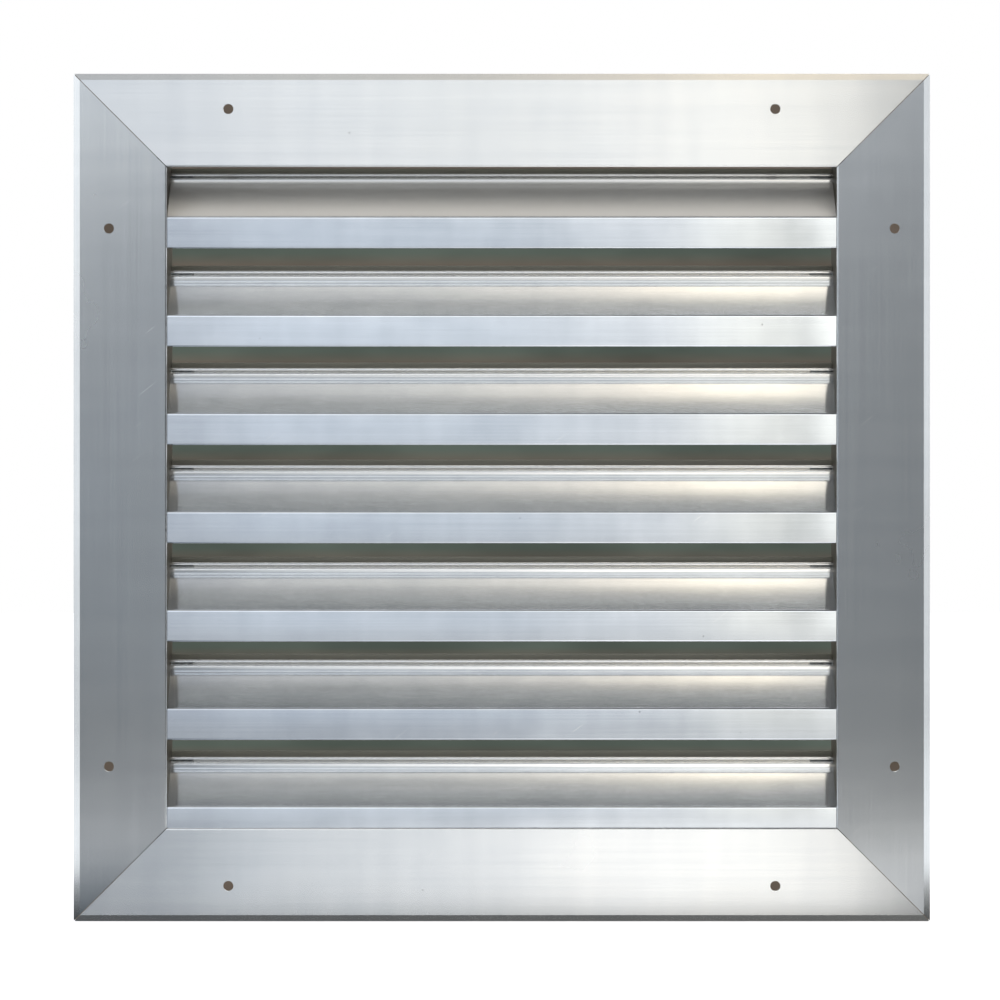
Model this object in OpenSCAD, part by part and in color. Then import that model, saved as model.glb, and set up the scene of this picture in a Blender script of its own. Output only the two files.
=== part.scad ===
// Fixed door louver of extruded aluminium: a mitred flanged frame with rising blades.
// X runs along the blades, Y from the front to the back, Z up.
// The origin is the centre of the opening, on the back face of the flange plate.

/* [Opening] */
// Clear width between the inner edges of the flange
opening_w = 300; // [160:1:600]
// Clear height between the inner edges of the flange
opening_h = 296; // [150:1:600]

/* [Frame extrusion] */
// Width of the flange, from its inner edge to its outer edge
flange_w = 42; // [38:0.5:60]
// Thickness of the flange plate
plate_t = 2; // [1.5:0.1:3]
// Bevel along the outer edge, equal on both legs
edge_bevel = 3; // [2:0.1:4]
// How far the outer rim stands behind the plate, down to the face of the door
rim_d = 3; // [2.5:0.1:6]
// Lip inside the neck, that covers the front of the stiles and of the lowest blade's foot
lip_w = 5; // [4:0.1:8]
// Wall of the neck that passes through the door
neck_t = 2; // [1.5:0.1:3]
// Depth of the neck behind the plate
neck_d = 38; // [36:0.5:60]
// Fillet where the neck leaves the plate, outside the opening
neck_fillet = 1; // [0.5:0.1:2]
// Bearing rib behind the plate: distance from the neck
rib_gap = 8; // [7:0.5:10]
// Bearing rib behind the plate: thickness
rib_t = 1.6; // [1:0.1:2.5]
// Width of the fine joint left between two mitred ends
mitre_joint = 0.3; // [0.1:0.05:0.6]

/* [Screw holes] */
// Bore of the eight fixing holes in the flange
hole_d = 4.6; // [3:0.1:6]
// Distance of a hole's centre from the outer edge of the flange
hole_inset = 16; // [10:0.5:18]
// Distance of a hole's centre from the outer corner, along the member
hole_from_corner = 69.5; // [55:0.5:90]

/* [Blade extrusion] */
// Number of blades, evenly spaced from the sill to the head
blade_count = 7; // [3:1:9]
// Gap between the top blade and the head
head_gap = 3.5; // [2:0.1:8]
// Height of the upright fascia
fascia_h = 14.5; // [12:0.1:20]
// Wall of the blade
blade_t = 1.6; // [1.4:0.1:2.2]
// Rounding of the fascia's upper front edge
fascia_top_r = 1.2; // [0.6:0.1:1.3]
// Rounding of the fascia's lower front edge
fascia_low_r = 0.7; // [0.4:0.1:1.2]
// Rise of the web above the horizontal, in degrees
web_rise = 35; // [28:1:38]
// Depth of the blade, from its fascia to the back of its upstand
blade_d = 32; // [30:0.1:34]
// Height of the rear upstand above the web
upstand_h = 2.8; // [1.5:0.1:3.2]
// Clearance from the blades and stiles to the lip, and from the lowest blade to the sill
blade_clear = 0.2; // [0.1:0.05:0.4]

/* [Screw ports] */
// Bore of a screw port
port_d = 3.2; // [2.8:0.1:3.6]
// Wall of a screw port
port_t = 1.5; // [1.2:0.1:1.8]
// Half of the angle that the mouth of a port spans, in degrees
mouth_half = 58; // [40:1:65]
// Distance of the rear port from the upstand, along the web
rear_port_back = 6; // [5.6:0.1:8]
// Height of the rear port's centre above the web's upper face
rear_port_up = 0.8; // [0.4:0.1:1.2]
// Distance of the front port's centre behind the face of the fascia
front_port_back = 3.9; // [3.7:0.1:5]
// Height of the front port's centre above the foot of the fascia
front_port_up = 4.5; // [3.6:0.1:7]
// Direction that the front port's mouth faces, in degrees above straight back
front_mouth_turn = -35; // [-60:1:0]

/* [Stiles] */
// How far a stile, the flat bar that the blades are screwed to, reaches past their backs
stile_past = 3; // [0:0.5:3.5]
// Clearance from the ends of a stile to the head and the sill
stile_clear = 0.3; // [0.2:0.05:0.6]

/* [Blade screws] */
// How far a blade screw reaches into its port
blade_screw_reach = 10; // [6:0.5:20]
// Diameter of a blade screw's countersunk head
blade_screw_head_d = 6; // [5:0.1:6.6]
// Height of a blade screw's head
blade_screw_head_h = 1.7; // [1.4:0.1:2.2]
// How far a blade screw's head lies below the face of the stile
blade_screw_sunk = 0.1; // [0.05:0.05:0.3]
// Radial clearance of a blade screw in its port
port_clear = 0.1; // [0.05:0.01:0.15]
// Radial clearance of a blade screw and its head in the stile
seat_clear = 0.05; // [0.03:0.01:0.1]

/* [Stile screws] */
// Diameter of a stile screw
stile_screw_d = 3.5; // [2.9:0.1:3.9]
// How far a stile screw reaches into the stile
stile_screw_bite = 4; // [3:0.1:4.5]
// Diameter of a stile screw's pan head
stile_screw_head_d = 6.9; // [6:0.1:7.6]
// Height of a stile screw's head
stile_screw_head_h = 2; // [1.6:0.1:2.6]
// Height of the upright rim of a stile screw's head
stile_screw_rim_h = 0.7; // [0.4:0.1:1.1]
// Radial clearance of a stile screw in the neck and in a cleat
neck_clear = 0.2; // [0.1:0.05:0.4]

/* [Corner cleats] */
// Wall of a corner cleat
cleat_t = 2; // [1.5:0.1:2.5]
// Width of a corner cleat, along the depth of the frame
cleat_w = 12; // [9:0.5:14]
// Rounding of a cleat's outer corner
cleat_r = 2.5; // [1:0.1:3]
// Width of a cleat past its last rivet or screw
cleat_margin = 6; // [4:0.5:8]

/* [Rivets] */
// Diameter of a rivet's body
rivet_d = 3.2; // [2.4:0.1:3.4]
// Diameter of a rivet's head
rivet_head_d = 6.4; // [5.6:0.1:7]
// Height of a rivet's head
rivet_head_h = 1.1; // [0.8:0.1:1.4]
// Diameter of the hole that the broken stem leaves in the head
stem_d = 1.8; // [1:0.1:2.2]
// Depth of that hole
stem_hole_depth = 2; // [1.2:0.1:3]
// Diameter of the swollen end inside the neck
bulb_d = 4.6; // [4:0.1:4.8]
// Length of the swollen end inside the neck
bulb_l = 2.6; // [2:0.1:3]
// Radial clearance of a rivet in its holes
rivet_clear = 0.05; // [0.02:0.01:0.1]
// Distance of the first rivet or stile screw from the inner corner of the neck
rivet_near = 9; // [8:0.5:10]
// Distance of the second rivet or stile screw from the inner corner of the neck
rivet_far = 32; // [31:0.5:36]

/* [Hidden] */
$fn = 64;
// Overlap of shapes that are joined, and overrun of shapes that cut
eps = 0.01;
cut_past = 1;
mill = "silver";
web_colour = "lightsteelblue";
steel = "slategray";

neck_w = opening_w + 2 * lip_w;
neck_h = opening_h + 2 * lip_w;
front_y = -plate_t;

// Blade section: u runs back from the fascia, v runs up from its foot
blade_y = blade_clear;
web_end_u = blade_d - blade_t;
function web_top(u) = fascia_h + (u - fascia_top_r) * tan(web_rise);
web_drop = blade_t / cos(web_rise);
blade_h = web_top(web_end_u) + upstand_h;
web_along = [cos(web_rise), sin(web_rise)];
web_normal = [-sin(web_rise), cos(web_rise)];
port_r = port_d / 2;
port_out_r = port_r + port_t;
rear_port = [web_end_u, web_top(web_end_u)] - rear_port_back * web_along + rear_port_up * web_normal;
front_port = [front_port_back, front_port_up];
// How much smaller than the wall a port's rounded lips are, so that they meet it in clean edges
lip_ease = 0.02;

// The lowest blade stands on the sill, and blade 1 is the top one
blade_foot_z = -neck_h / 2 + blade_clear;
blade_pitch = (neck_h - blade_clear - head_gap - blade_h) / (blade_count - 1);
function blade_z(i) = blade_foot_z + (blade_count - i) * blade_pitch;
function blade_name(i) = str("blade_", i);

// Each stile fills the space behind the lip, and the blades fit between the two
stile_t = lip_w;
stile_d = blade_d + stile_past;
blade_l = neck_w - 2 * stile_t;
blade_screw_d = port_d - 2 * port_clear;

// The cleats, their rivets and the stile screws sit midway between the two rows of blade screws
cleat_y = blade_y + (front_port[0] + rear_port[0]) / 2;
rivets_at = [rivet_near, rivet_far];
// Each stile screw's height and what it grips: the neck alone at mid height, or a cleat and the neck
stile_screws_at = concat(
    [[0, neck_t]],
    [for (s = [-1, 1], d = rivets_at) [s * (neck_h / 2 - d), neck_t + cleat_t]]
);
CORNERS = [
    ["top_left", -1, 1],
    ["top_right", 1, 1],
    ["bottom_left", -1, -1],
    ["bottom_right", 1, -1]
];

// Section of the frame: x is the distance out from the lip's edge, y is the depth
module frame_section() {
    nose_r = plate_t / 2;
    turn = plate_t * tan(22.5);
    rim_in = flange_w - plate_t;
    neck_out = lip_w + neck_t;
    translate([nose_r, front_y + nose_r]) circle(nose_r);
    polygon([
        [nose_r, front_y],
        [flange_w - edge_bevel, front_y],
        [flange_w, front_y + edge_bevel],
        [flange_w, rim_d],
        [rim_in, rim_d],
        [rim_in, front_y + edge_bevel + turn],
        [flange_w - edge_bevel - turn, 0],
        [nose_r, 0]
    ]);
    translate([lip_w, -eps]) square([neck_t, neck_d + eps]);
    translate([neck_out + rib_gap, -eps]) square([rib_t, rim_d + eps]);
    difference() {
        translate([neck_out - eps, -eps]) square(neck_fillet + eps);
        translate([neck_out + neck_fillet, neck_fillet]) circle(neck_fillet);
    }
}

// Outline of a mitred member seen from the front, for a clear span and a distance from the centre
module mitre_outline(span, reach) {
    back = mitre_joint / sqrt(2);
    inner = span / 2 - cut_past - back;
    outer = span / 2 + flange_w + cut_past - back;
    polygon([
        [-inner, reach - cut_past],
        [inner, reach - cut_past],
        [outer, reach + flange_w + cut_past],
        [-outer, reach + flange_w + cut_past]
    ]);
}

// A frame member lying along X above the centre, with its two fixing holes
module frame_member(span, reach) {
    length = span + 2 * flange_w;
    hole_x = length / 2 - hole_from_corner;
    hole_z = reach + flange_w - hole_inset;
    difference() {
        intersection() {
            translate([0, 0, reach]) rotate([0, -90, 0])
                linear_extrude(length, center = true) frame_section();
            translate([0, neck_d + cut_past, 0]) rotate([90, 0, 0])
                linear_extrude(neck_d + plate_t + 2 * cut_past) mitre_outline(span, reach);
        }
        for (side = [-1, 1])
            translate([side * hole_x, cut_past, hole_z]) rotate([90, 0, 0])
                cylinder(d = hole_d, h = plate_t + 2 * cut_past);
    }
}

module frame_head() {
    color(mill) difference() {
        frame_member(opening_w, opening_h / 2);
        for (sx = [-1, 1]) at_corner(sx, 1) at_cleat_rivets() rivet_hole(neck_t);
    }
}

module frame_sill() {
    mirror([0, 0, 1]) frame_head();
}

module frame_jamb(side) {
    color(mill) difference() {
        rotate([0, side * 90, 0]) frame_member(opening_h, opening_w / 2);
        at_stile_screws(side) stile_screw_hole();
    }
}

// Places its children at each port, on the neck's inner face, with their Z axis pointing out
module at_blade_ports(side) {
    for (i = [1:blade_count], p = [rear_port, front_port])
        translate([side * neck_w / 2, blade_y + p[0], blade_z(i) + p[1]])
            rotate([0, side * 90, 0]) children();
}

// The same for each stile screw; $grip tells a child how much the screw clamps on the stile
module at_stile_screws(side) {
    for (s = stile_screws_at) {
        $grip = s[1];
        translate([side * neck_w / 2, cleat_y, s[0]]) rotate([0, side * 90, 0]) children();
    }
}

// Mirrors what is built for the top right corner to another corner
module at_corner(sx, sz) {
    mirror([sx < 0 ? 1 : 0, 0, 0]) mirror([0, 0, sz < 0 ? 1 : 0]) children();
}

// Places its children at the top right corner's rivets, on the neck's inner face and pointing up
module at_cleat_rivets() {
    for (d = rivets_at) translate([neck_w / 2 - d, cleat_y, neck_h / 2]) children();
}

// Hole for a rivet, through a wall that starts at the neck's inner face
module rivet_hole(wall) {
    translate([0, 0, -cut_past]) cylinder(r = rivet_d / 2 + rivet_clear, h = wall + 2 * cut_past);
}

// Clearance hole for a stile screw, through all that it clamps
module stile_screw_hole() {
    translate([0, 0, -cut_past]) cylinder(r = stile_screw_d / 2 + neck_clear, h = $grip + 2 * cut_past);
}

// The mouth of a screw port, as a wedge from its centre to past its wall
module port_mouth(turn) {
    reach = (port_out_r + cut_past) / cos(mouth_half);
    polygon([
        [0, 0],
        reach * [cos(turn - mouth_half), sin(turn - mouth_half)],
        reach * [cos(turn + mouth_half), sin(turn + mouth_half)]
    ]);
}

// The two rounded lips of a screw port
module port_lips(turn) {
    lip_r = port_t / 2 - lip_ease;
    for (side = [-1, 1])
        rotate(turn + side * mouth_half) translate([port_r + port_t / 2, 0]) circle(lip_r);
}

// The short foot that carries the front port on the back of the fascia
module port_foot() {
    translate([blade_t - eps, front_port_up - port_t / 2]) square([front_port[0] - blade_t + eps, port_t]);
}

// The upright front of a blade, with both front edges rounded
module fascia() {
    translate([0, fascia_low_r]) square([blade_t, fascia_h - fascia_low_r - fascia_top_r]);
    translate([fascia_low_r, 0]) square([blade_t - fascia_low_r, fascia_h - fascia_top_r]);
    translate([fascia_low_r, fascia_low_r]) circle(fascia_low_r);
    translate([fascia_top_r, fascia_h - fascia_top_r]) circle(fascia_top_r);
}

// The rising web, from the fascia's upper edge to the upstand
module web() {
    polygon([
        [fascia_top_r, fascia_h],
        [web_end_u, web_top(web_end_u)],
        [web_end_u, web_top(web_end_u) - web_drop],
        [blade_t, web_top(blade_t) - web_drop],
        [fascia_top_r, web_top(blade_t) - web_drop]
    ]);
}

// The lip at the back that stops driven rain
module upstand() {
    foot_v = web_top(web_end_u) - web_drop;
    straight = web_drop + upstand_h - blade_t / 2;
    translate([web_end_u - eps, foot_v]) square([blade_t + eps, straight]);
    translate([web_end_u + blade_t / 2, foot_v + straight]) circle(blade_t / 2);
}

// Runs a section along the blade, from stile to stile or a little past both
module along_blade(past = 0) {
    linear_extrude(blade_l + 2 * past, center = true) children();
}

// One blade: fascia, rising web, rear upstand and the two screw ports
module blade_bar() {
    ports = [[rear_port, 90 + web_rise], [front_port, front_mouth_turn]];
    difference() {
        union() {
            along_blade() fascia();
            along_blade() web();
            along_blade() upstand();
            along_blade() port_foot();
            for (p = ports) along_blade() translate(p[0]) circle(port_out_r);
        }
        for (p = ports) {
            along_blade(cut_past) translate(p[0]) circle(port_r);
            along_blade(cut_past) translate(p[0]) port_mouth(p[1]);
        }
    }
    for (p = ports) along_blade() translate(p[0]) port_lips(p[1]);
}

module blade(i) {
    color(web_colour) translate([0, blade_y, blade_z(i)]) rotate([90, 0, 90]) blade_bar();
}

// A flat bar between the blades' ends and the jamb, drilled for its screws
module stile(side) {
    height = neck_h - 2 * stile_clear;
    color(mill) difference() {
        translate([side * (neck_w - stile_t) / 2, blade_y + stile_d / 2, 0])
            cube([stile_t, stile_d, height], center = true);
        at_blade_ports(side) blade_screw_seat();
        at_stile_screws(side) translate([0, 0, -stile_screw_bite - seat_clear])
            cylinder(r = stile_screw_d / 2 + seat_clear, h = stile_screw_bite + seat_clear + cut_past);
    }
}

// A blade screw's shank and countersunk head, made larger all round for its seat
module countersunk(tip_z, grow = 0) {
    head_z = -blade_screw_sunk - blade_screw_head_h;
    r = blade_screw_d / 2 + grow;
    translate([0, 0, tip_z]) cylinder(r = r, h = head_z - tip_z + eps);
    translate([0, 0, head_z])
        cylinder(r1 = r, r2 = blade_screw_head_d / 2 + grow, h = blade_screw_head_h);
}

module blade_screw_seat() {
    countersunk(-stile_t - cut_past, seat_clear);
    translate([0, 0, -blade_screw_sunk - eps])
        cylinder(r = blade_screw_head_d / 2 + seat_clear, h = blade_screw_sunk + eps + cut_past);
}

module blade_screw() {
    countersunk(-stile_t - blade_screw_reach);
}

module blade_screws(side) {
    color(steel) at_blade_ports(side) blade_screw();
}

// Outline of a cleat, with its outer corner rounded
module cleat_outline() {
    leg = cleat_t + neck_t + rivet_far + cleat_margin;
    difference() {
        union() {
            translate([-leg, -leg]) square([leg - cleat_r, leg]);
            translate([-leg, -leg]) square([leg, leg - cleat_r]);
            translate([-cleat_r, -cleat_r]) circle(cleat_r);
        }
        translate([-leg - cut_past, -leg - cut_past]) square(leg + cut_past - cleat_t);
    }
}

// An angle on the outside of the neck, across one mitre
module corner_cleat(sx, sz) {
    corner_x = neck_w / 2 + neck_t + cleat_t;
    corner_z = neck_h / 2 + neck_t + cleat_t;
    color(mill) at_corner(sx, sz) difference() {
        translate([corner_x, cleat_y + cleat_w / 2, corner_z]) rotate([90, 0, 0])
            linear_extrude(cleat_w) cleat_outline();
        at_cleat_rivets() rivet_hole(neck_t + cleat_t);
        at_stile_screws(1) stile_screw_hole();
    }
}

// A round head on the plane z = 0, with an upright rim and a domed top
module domed_head(d, h, rim_h) {
    rise = h - rim_h;
    dome_r = (pow(d / 2, 2) + pow(rise, 2)) / (2 * rise);
    intersection() {
        cylinder(d = d, h = h);
        translate([0, 0, h - dome_r]) sphere(dome_r);
    }
}

// A blind rivet from its swollen end inside the neck to its domed head on the cleat
module rivet() {
    grip = neck_t + cleat_t;
    difference() {
        union() {
            translate([0, 0, -bulb_l]) cylinder(d = bulb_d, h = bulb_l);
            cylinder(d = rivet_d, h = grip + eps);
            translate([0, 0, grip]) domed_head(rivet_head_d, rivet_head_h, 0);
        }
        translate([0, 0, grip + rivet_head_h - stem_hole_depth])
            cylinder(d = stem_d, h = stem_hole_depth + cut_past);
    }
}

module cleat_rivets(sx, sz) {
    color(steel) at_corner(sx, sz) at_cleat_rivets() rivet();
}

// A pan head screw from outside the neck into the stile
module stile_screw() {
    translate([0, 0, -stile_screw_bite]) cylinder(d = stile_screw_d, h = stile_screw_bite + $grip + eps);
    translate([0, 0, $grip]) domed_head(stile_screw_head_d, stile_screw_head_h, stile_screw_rim_h);
}

module stile_screws(side) {
    color(steel) at_stile_screws(side) stile_screw();
}

frame_head();
frame_sill();
frame_jamb(-1);  // frame_jamb_left
frame_jamb(1);  // frame_jamb_right
for (i = [1:blade_count]) blade(i);
stile(-1);  // stile_left
stile(1);  // stile_right
blade_screws(-1);  // blade_screws_left
blade_screws(1);  // blade_screws_right
for (c = CORNERS) corner_cleat(c[1], c[2]);
for (c = CORNERS) cleat_rivets(c[1], c[2]);
stile_screws(-1);  // stile_screws_left
stile_screws(1);  // stile_screws_right
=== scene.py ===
import math

import bmesh
import bpy
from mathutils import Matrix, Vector


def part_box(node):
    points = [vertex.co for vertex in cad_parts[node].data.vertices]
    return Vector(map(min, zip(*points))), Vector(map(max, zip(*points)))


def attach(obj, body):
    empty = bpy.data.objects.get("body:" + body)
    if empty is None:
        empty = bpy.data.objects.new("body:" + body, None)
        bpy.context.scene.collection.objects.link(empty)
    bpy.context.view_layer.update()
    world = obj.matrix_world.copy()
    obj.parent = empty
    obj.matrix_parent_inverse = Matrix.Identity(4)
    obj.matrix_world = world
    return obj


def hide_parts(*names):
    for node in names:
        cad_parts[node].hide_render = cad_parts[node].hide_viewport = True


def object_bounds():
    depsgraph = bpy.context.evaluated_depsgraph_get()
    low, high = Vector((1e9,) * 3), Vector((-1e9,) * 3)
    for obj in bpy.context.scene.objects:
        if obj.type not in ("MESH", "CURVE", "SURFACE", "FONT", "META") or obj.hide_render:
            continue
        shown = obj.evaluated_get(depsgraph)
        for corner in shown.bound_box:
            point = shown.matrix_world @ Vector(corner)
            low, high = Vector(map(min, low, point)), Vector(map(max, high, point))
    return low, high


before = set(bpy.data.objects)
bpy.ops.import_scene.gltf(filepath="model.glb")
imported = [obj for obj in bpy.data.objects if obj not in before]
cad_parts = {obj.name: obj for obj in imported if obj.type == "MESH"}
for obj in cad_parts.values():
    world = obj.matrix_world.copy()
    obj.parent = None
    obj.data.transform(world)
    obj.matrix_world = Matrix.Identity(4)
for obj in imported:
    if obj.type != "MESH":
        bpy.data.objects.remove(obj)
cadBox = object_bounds()
mm = 0.001
print("frame loaded:", len(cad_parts), "nodes")


# Colours, nodes and node trees

def linear(code):
    channels = [int(code[i:i + 2], 16) / 255 for i in (1, 3, 5)]
    return (*[c / 12.92 if c <= 0.04045 else ((c + 0.055) / 1.055) ** 2.4 for c in channels], 1.0)


def addNode(tree, kind, inputs=None, **settings):
    # An input takes a value, a socket, a node (its first output) or a list of those
    node = tree.nodes.new(kind)
    for name, value in settings.items():
        setattr(node, name, value)
    for key, value in (inputs or {}).items():
        for source in value if isinstance(value, list) else [value]:
            if isinstance(source, bpy.types.Node):
                source = next(socket for socket in source.outputs if socket.enabled)
            if isinstance(source, bpy.types.NodeSocket):
                tree.links.new(source, node.inputs[key])
            else:
                node.inputs[key].default_value = source
    return node


def newMaterial(name):
    material = bpy.data.materials.new(name)
    material.use_nodes = True
    material.node_tree.nodes.clear()
    return material, material.node_tree


def link(name, data):
    thing = bpy.data.objects.new(name, data)
    bpy.context.scene.collection.objects.link(thing)
    return thing


# Aluminium as it leaves the die: it mirrors along its length and smears light across it

frameFinish = {
    "dark": "#DCDFE2",
    "pale": "#F3F4F4",
    "roughness": 0.25,
    "anisotropy": 1.0,
    "cloudMm": 34,
}
# the same extrusion as the head and sill, made darker: painted shade on the jambs
uprightShadeFinish = {
    "dark": "#BCC0C4",
    "pale": "#D5D8DA",
    "roughness": 0.25,
    "anisotropy": 1.0,
    "cloudMm": 34,
}
bladeFinish = {
    "dark": "#C4CAD2",
    "pale": "#E4E9EF",
    "roughness": 0.11,
    "anisotropy": 1.0,
    "webRise": 35,
    "dust": "#D2D0CB",
    "dustCover": 0.12,
    "topDustCover": 0.9,
    "topFromMm": 105,
    # near-white on the beads and other rear faces: painted highlight
    "paintedHighlight": "#FBFBFA",
    "paintedHighlightFromMm": 20,
    # dull grey-brown on the fronts of the upstands: painted shade
    "upstandShade": "#98968A",
    "upstandShadeFromMm": 29.4,
    "cloudMm": 22,
}
# dark brown-grey aluminium: painted shade on the flat bars at the blade ends
stileShadeFinish = {
    "dark": "#4C4840",
    "pale": "#605C52",
    "roughness": 0.45,
    "anisotropy": 0.7,
    "cloudMm": 18,
}
barFinish = {
    "dark": "#B9BCBE",
    "pale": "#D5D7D8",
    "roughness": 0.45,
    "anisotropy": 0.7,
    "cloudMm": 18,
}
extrusion = {
    "dieLineMm": 0.9,  # drawn about twice as coarse as the real lines, so that they show
    "hairLineMm": 0.35,
    "bandMm": 5,
    "rackMarkMm": 11,
    "speckMm": 17,
    "scratchMm": 0.55,
}


def spots(tree, sizeMm, grain="X", stretch=1.0, detail=2.0, turn=0.0):
    # Noise in Object coordinates, drawn out along the grain
    coords = addNode(tree, "ShaderNodeTexCoord").outputs["Object"]
    scale = [1 / stretch if axis == grain else 1.0 for axis in "XYZ"]
    aimed = addNode(tree, "ShaderNodeMapping", {"Vector": coords, "Rotation": (0.0, math.radians(turn), 0.0)})
    drawn = addNode(tree, "ShaderNodeMapping", {"Vector": aimed, "Scale": tuple(scale)})
    return addNode(tree, "ShaderNodeTexNoise", {"Vector": drawn, "Scale": 1 / (sizeMm * mm), "Detail": detail})


def millAluminium(name, grain, finish, toneName=None):
    material, tree = newMaterial(name)
    dieLines = spots(tree, extrusion["dieLineMm"], grain, 140)
    hairLines = spots(tree, extrusion["hairLineMm"], grain, 90)
    bands = spots(tree, extrusion["bandMm"], grain, 50)
    clouds = spots(tree, finish["cloudMm"], grain, 1.6, 4.0)
    rackMarks = spots(tree, extrusion["rackMarkMm"], "Z" if grain == "X" else "X", 7)
    tone = -0.55
    for pattern, weight in ((dieLines, 0.35), (bands, 0.35), (clouds, 0.9), (rackMarks, 0.5)):
        tone = addNode(tree, "ShaderNodeMath", {0: pattern, 1: weight, 2: tone}, operation="MULTIPLY_ADD")
    if toneName:
        own = addNode(tree, "ShaderNodeAttribute", attribute_name=toneName)
        tone = addNode(tree, "ShaderNodeMath", {0: own.outputs["Fac"], 1: 0.7, 2: tone}, operation="MULTIPLY_ADD")
        tone = addNode(tree, "ShaderNodeMath", {0: tone, 1: 0.35}, operation="SUBTRACT")
    colour = addNode(tree, "ShaderNodeMix", {
        "Factor": tone, "A": linear(finish["dark"]), "B": linear(finish["pale"]),
    }, data_type="RGBA", clamp_factor=True)
    # Sparse pits and short pale scratches from handling
    scratches = addNode(tree, "ShaderNodeMapRange", {
        "Value": spots(tree, extrusion["scratchMm"], "X", 26, 1.0, 38), "From Min": 0.77, "From Max": 0.83,
    })
    cells = addNode(tree, "ShaderNodeTexVoronoi", {
        "Vector": addNode(tree, "ShaderNodeTexCoord").outputs["Object"], "Scale": 1 / (extrusion["speckMm"] * mm),
    })
    pits = addNode(tree, "ShaderNodeMapRange", {
        "Value": cells.outputs["Distance"], "From Min": 0.018, "From Max": 0.034, "To Min": 1.0, "To Max": 0.0,
    })
    pitted = addNode(tree, "ShaderNodeMix", {
        "Factor": addNode(tree, "ShaderNodeMath", {0: pits, 1: 0.45}, operation="MULTIPLY"),
        "A": colour, "B": linear("#8A8D90"),
    }, data_type="RGBA")
    scratched = addNode(tree, "ShaderNodeMix", {
        "Factor": addNode(tree, "ShaderNodeMath", {0: scratches, 1: 0.5}, operation="MULTIPLY"),
        "A": pitted, "B": linear("#F6F6F4"),
    }, data_type="RGBA")
    roughness = addNode(tree, "ShaderNodeMapRange", {
        "Value": clouds, "From Min": 0.3, "From Max": 0.7,
        "To Min": finish["roughness"] * 0.9, "To Max": finish["roughness"] * 1.1,
    })
    relief = addNode(tree, "ShaderNodeMath", {0: hairLines, 1: dieLines}, operation="ADD")
    relief = addNode(tree, "ShaderNodeMath", {0: relief, 1: pits}, operation="SUBTRACT")
    bump = addNode(tree, "ShaderNodeBump", {"Strength": 0.05, "Distance": 0.01 * mm, "Height": relief})
    along = addNode(tree, "ShaderNodeCombineXYZ", {"XYZ".index(grain): 1.0})
    metallic = 1.0
    if "dust" in finish:
        # Dust dulls the webs, thickest on the top one; the beads and other rear faces off the webs get a
        # near-white painted highlight, and the fronts of the upstands a dull painted shade
        rise = math.radians(finish["webRise"])
        normal = addNode(tree, "ShaderNodeNewGeometry").outputs["Normal"]
        facing = addNode(tree, "ShaderNodeVectorMath", {
            0: normal, 1: (0.0, -math.sin(rise), math.cos(rise)),
        }, operation="DOT_PRODUCT")
        onWeb = addNode(tree, "ShaderNodeMapRange", {"Value": facing.outputs["Value"], "From Min": 0.985, "From Max": 0.997})
        place = addNode(tree, "ShaderNodeSeparateXYZ", {0: addNode(tree, "ShaderNodeTexCoord").outputs["Object"]})
        cover = addNode(tree, "ShaderNodeMapRange", {
            "Value": place.outputs["Z"], "From Min": finish["topFromMm"] * mm, "From Max": (finish["topFromMm"] + 15) * mm,
            "To Min": finish["dustCover"], "To Max": finish["topDustCover"],
        })
        dusty = addNode(tree, "ShaderNodeMath", {0: onWeb, 1: cover}, operation="MULTIPLY")
        offWeb = addNode(tree, "ShaderNodeMath", {0: 1.0, 1: onWeb}, operation="SUBTRACT")
        # painted highlight on the faces off the webs, towards the rear
        back = addNode(tree, "ShaderNodeMapRange", {
            "Value": place.outputs["Y"], "From Min": finish["paintedHighlightFromMm"] * mm, "From Max": (finish["paintedHighlightFromMm"] + 1) * mm,
        })
        paintedHighlight = addNode(tree, "ShaderNodeMath", {0: offWeb, 1: back}, operation="MULTIPLY")
        # painted shade on the fronts of the upstands, at the back of each blade
        inside = addNode(tree, "ShaderNodeMapRange", {
            "Value": place.outputs["Y"], "From Min": finish["upstandShadeFromMm"] * mm, "From Max": (finish["upstandShadeFromMm"] + 1) * mm,
        })
        front = addNode(tree, "ShaderNodeMapRange", {
            "Value": addNode(tree, "ShaderNodeSeparateXYZ", {0: normal}).outputs["Y"],
            "From Min": 0.5, "From Max": 0.1,
        })
        shadedUpstand = addNode(tree, "ShaderNodeMath", {0: inside, 1: front}, operation="MULTIPLY")
        for amount, code in ((dusty, finish["dust"]), (paintedHighlight, finish["paintedHighlight"]), (shadedUpstand, finish["upstandShade"])):
            scratched = addNode(tree, "ShaderNodeMix", {
                "Factor": amount, "A": scratched, "B": linear(code),
            }, data_type="RGBA")
        covered = addNode(tree, "ShaderNodeMath", {0: dusty, 1: shadedUpstand}, operation="ADD", use_clamp=True)
        metallic = addNode(tree, "ShaderNodeMath", {0: 1.0, 1: covered}, operation="SUBTRACT")
        roughness = addNode(tree, "ShaderNodeMath", {0: paintedHighlight, 1: 0.06, 2: roughness}, operation="MULTIPLY_ADD")
        roughness = addNode(tree, "ShaderNodeMath", {0: shadedUpstand, 1: 0.5, 2: roughness}, operation="MULTIPLY_ADD")
    shader = addNode(tree, "ShaderNodeBsdfPrincipled", {
        "Base Color": scratched,
        "Metallic": metallic,
        "Roughness": roughness,
        "Anisotropic": finish["anisotropy"],
        "Anisotropic Rotation": 0.25,  # the smear lies across the grain
        "Tangent": along,
        "Normal": bump,
    })
    addNode(tree, "ShaderNodeOutputMaterial", {"Surface": shader})
    return material


# Zinc plating on turned steel: a cool, slightly clouded mirror; the rivets are the same in a paler metal

zincFinish = {"dark": "#9FA4A9", "pale": "#C3C8CB", "roughness": 0.3}
rivetFinish = {"dark": "#BFC2C4", "pale": "#DADCDD", "roughness": 0.34}


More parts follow.
